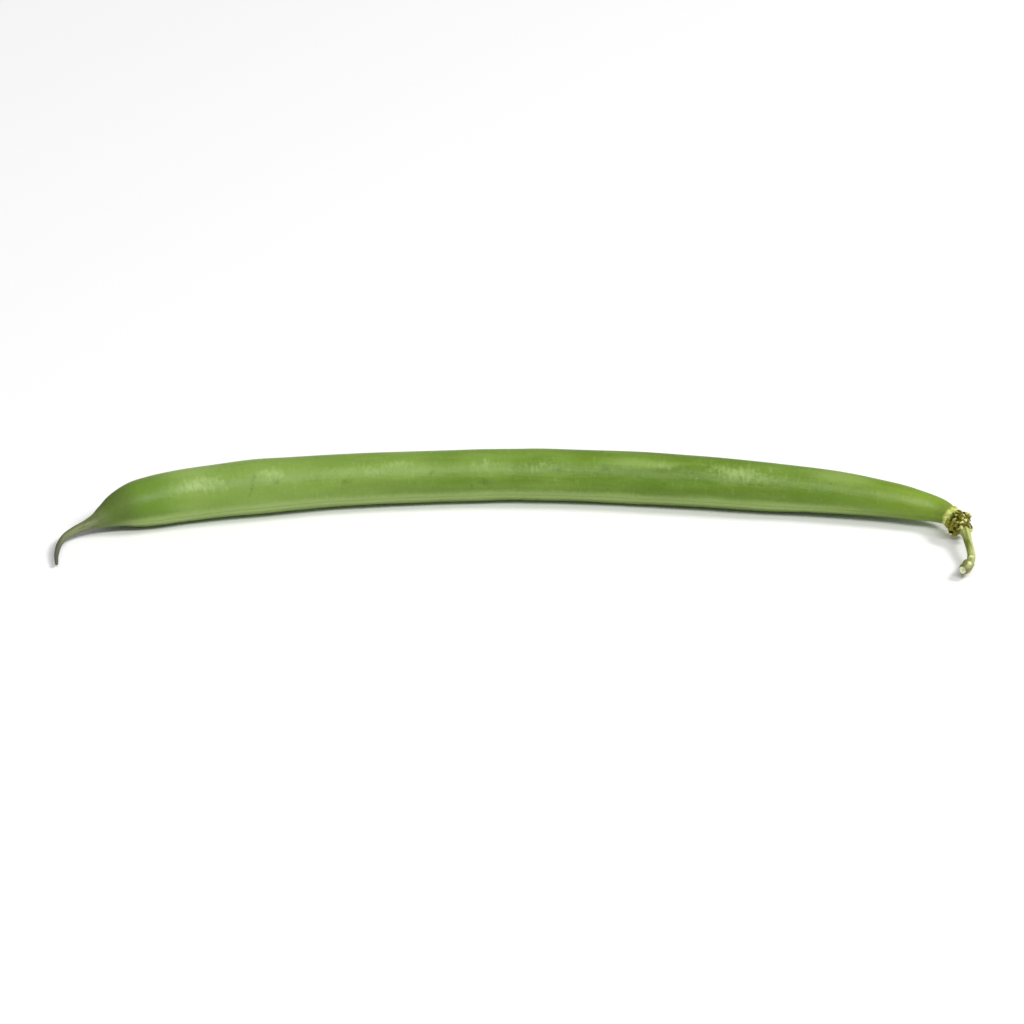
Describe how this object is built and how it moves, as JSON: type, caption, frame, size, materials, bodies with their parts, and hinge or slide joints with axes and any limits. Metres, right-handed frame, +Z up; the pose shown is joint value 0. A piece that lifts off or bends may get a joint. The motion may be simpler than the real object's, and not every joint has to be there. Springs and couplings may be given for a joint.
{
  "type": "green bean",
  "caption": "Fresh green bean lying on its side: a long, gently arched pod with a hooked beak, a knobbly calyx and a short curved stalk.",
  "frame": {"origin": "on the flat strip under the middle of the pod, in the plane that the bean lies on", "axes": "+X along the bean towards the stalk, +Y towards the outside of its bend, +Z up from the surface it lies on"},
  "size_m": [0.1545, 0.0333, 0.0088],
  "materials": {
    "pod_green": "satin",
    "calyx_husk": "matte",
    "stalk_fibre": "matte"
  },
  "bodies": {
    "root": {"pod": "pod_green", "calyx": "calyx_husk", "stalk": "stalk_fibre"}
  },
  "joints": []
}
